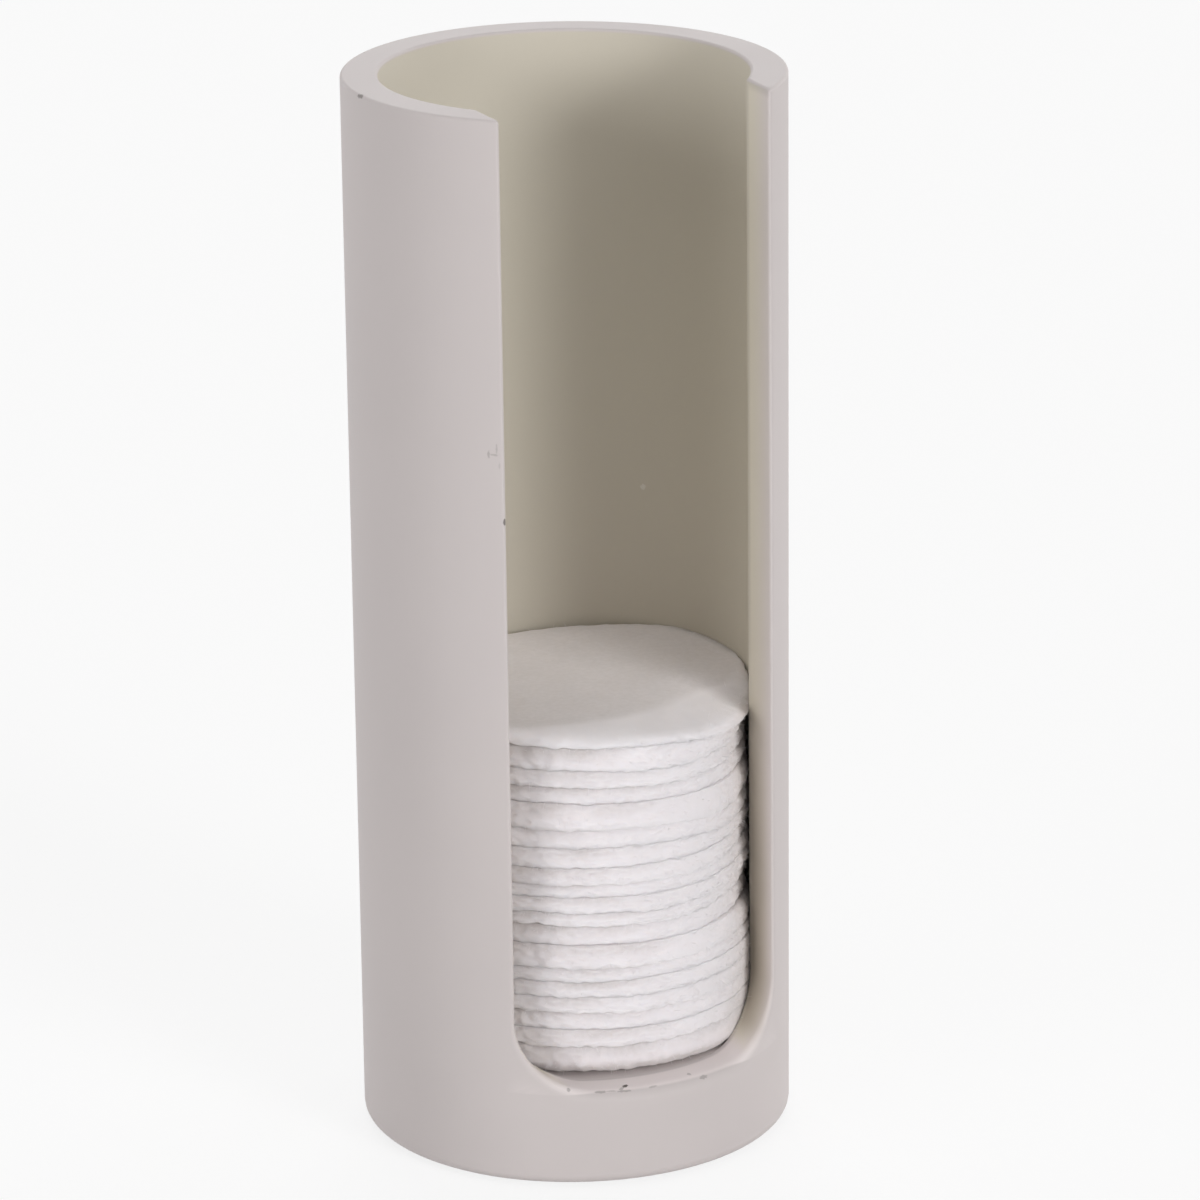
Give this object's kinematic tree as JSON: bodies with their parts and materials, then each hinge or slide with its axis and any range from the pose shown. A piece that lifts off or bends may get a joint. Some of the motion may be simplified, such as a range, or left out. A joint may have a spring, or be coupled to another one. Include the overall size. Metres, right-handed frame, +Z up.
{
  "type": "cotton pad container",
  "caption": "Tall round open-topped container with a wide finger slot down its front, holding a stack of round cotton pads on a raised floor.",
  "frame": {"origin": "middle of the underside of the foot, where the container meets the table", "axes": "+Z up along the container's axis; the finger slot faces -Y; +X is to the right seen from the slot"},
  "size_m": [0.073, 0.073, 0.182],
  "materials": {
    "greige_lacquer": "smooth matte greige lacquer over turned wood",
    "foot_foam": "matte closed-cell foam rubber",
    "cotton": "pressed white cotton with a soft fibrous surface"
  },
  "bodies": {
    "container": {"container_body": "greige_lacquer", "base_plug": "greige_lacquer", "anti_slip_foot": "foot_foam"},
    "cotton_pad_01": {"cotton_pad_01": "cotton"},
    "cotton_pad_02": {"cotton_pad_02": "cotton"},
    "cotton_pad_03": {"cotton_pad_03": "cotton"},
    "cotton_pad_04": {"cotton_pad_04": "cotton"},
    "cotton_pad_05": {"cotton_pad_05": "cotton"},
    "cotton_pad_06": {"cotton_pad_06": "cotton"},
    "cotton_pad_07": {"cotton_pad_07": "cotton"},
    "cotton_pad_08": {"cotton_pad_08": "cotton"},
    "cotton_pad_09": {"cotton_pad_09": "cotton"},
    "cotton_pad_10": {"cotton_pad_10": "cotton"},
    "cotton_pad_11": {"cotton_pad_11": "cotton"},
    "cotton_pad_12": {"cotton_pad_12": "cotton"},
    "cotton_pad_13": {"cotton_pad_13": "cotton"},
    "cotton_pad_14": {"cotton_pad_14": "cotton"},
    "cotton_pad_15": {"cotton_pad_15": "cotton"},
    "cotton_pad_16": {"cotton_pad_16": "cotton"},
    "cotton_pad_17": {"cotton_pad_17": "cotton"},
    "cotton_pad_18": {"cotton_pad_18": "cotton"},
    "cotton_pad_19": {"cotton_pad_19": "cotton"}
  },
  "joints": [
    {"name": "pad_01_lift", "type": "slide", "parent": "container", "child": "cotton_pad_01", "axis": [0, 0, 1], "range_m": [0, 0.17]},
    {"name": "pad_02_lift", "type": "slide", "parent": "cotton_pad_01", "child": "cotton_pad_02", "axis": [0, 0, 1], "range_m": [0, 0.165]},
    {"name": "pad_03_lift", "type": "slide", "parent": "cotton_pad_02", "child": "cotton_pad_03", "axis": [0, 0, 1], "range_m": [0, 0.162]},
    {"name": "pad_04_lift", "type": "slide", "parent": "cotton_pad_03", "child": "cotton_pad_04", "axis": [0, 0, 1], "range_m": [0, 0.159]},
    {"name": "pad_05_lift", "type": "slide", "parent": "cotton_pad_04", "child": "cotton_pad_05", "axis": [0, 0, 1], "range_m": [0, 0.157]},
    {"name": "pad_06_lift", "type": "slide", "parent": "cotton_pad_05", "child": "cotton_pad_06", "axis": [0, 0, 1], "range_m": [0, 0.154]},
    {"name": "pad_07_lift", "type": "slide", "parent": "cotton_pad_06", "child": "cotton_pad_07", "axis": [0, 0, 1], "range_m": [0, 0.151]},
    {"name": "pad_08_lift", "type": "slide", "parent": "cotton_pad_07", "child": "cotton_pad_08", "axis": [0, 0, 1], "range_m": [0, 0.147]},
    {"name": "pad_09_lift", "type": "slide", "parent": "cotton_pad_08", "child": "cotton_pad_09", "axis": [0, 0, 1], "range_m": [0, 0.144]},
    {"name": "pad_10_lift", "type": "slide", "parent": "cotton_pad_09", "child": "cotton_pad_10", "axis": [0, 0, 1], "range_m": [0, 0.141]},
    {"name": "pad_11_lift", "type": "slide", "parent": "cotton_pad_10", "child": "cotton_pad_11", "axis": [0, 0, 1], "range_m": [0, 0.139]},
    {"name": "pad_12_lift", "type": "slide", "parent": "cotton_pad_11", "child": "cotton_pad_12", "axis": [0, 0, 1], "range_m": [0, 0.136]},
    {"name": "pad_13_lift", "type": "slide", "parent": "cotton_pad_12", "child": "cotton_pad_13", "axis": [0, 0, 1], "range_m": [0, 0.133]},
    {"name": "pad_14_lift", "type": "slide", "parent": "cotton_pad_13", "child": "cotton_pad_14", "axis": [0, 0, 1], "range_m": [0, 0.13]},
    {"name": "pad_15_lift", "type": "slide", "parent": "cotton_pad_14", "child": "cotton_pad_15", "axis": [0, 0, 1], "range_m": [0, 0.127]},
    {"name": "pad_16_lift", "type": "slide", "parent": "cotton_pad_15", "child": "cotton_pad_16", "axis": [0, 0, 1], "range_m": [0, 0.122]},
    {"name": "pad_17_lift", "type": "slide", "parent": "cotton_pad_16", "child": "cotton_pad_17", "axis": [0, 0, 1], "range_m": [0, 0.119]},
    {"name": "pad_18_lift", "type": "slide", "parent": "cotton_pad_17", "child": "cotton_pad_18", "axis": [0, 0, 1], "range_m": [0, 0.117]},
    {"name": "pad_19_lift", "type": "slide", "parent": "cotton_pad_18", "child": "cotton_pad_19", "axis": [0, 0, 1], "range_m": [0, 0.113]}
  ]
}
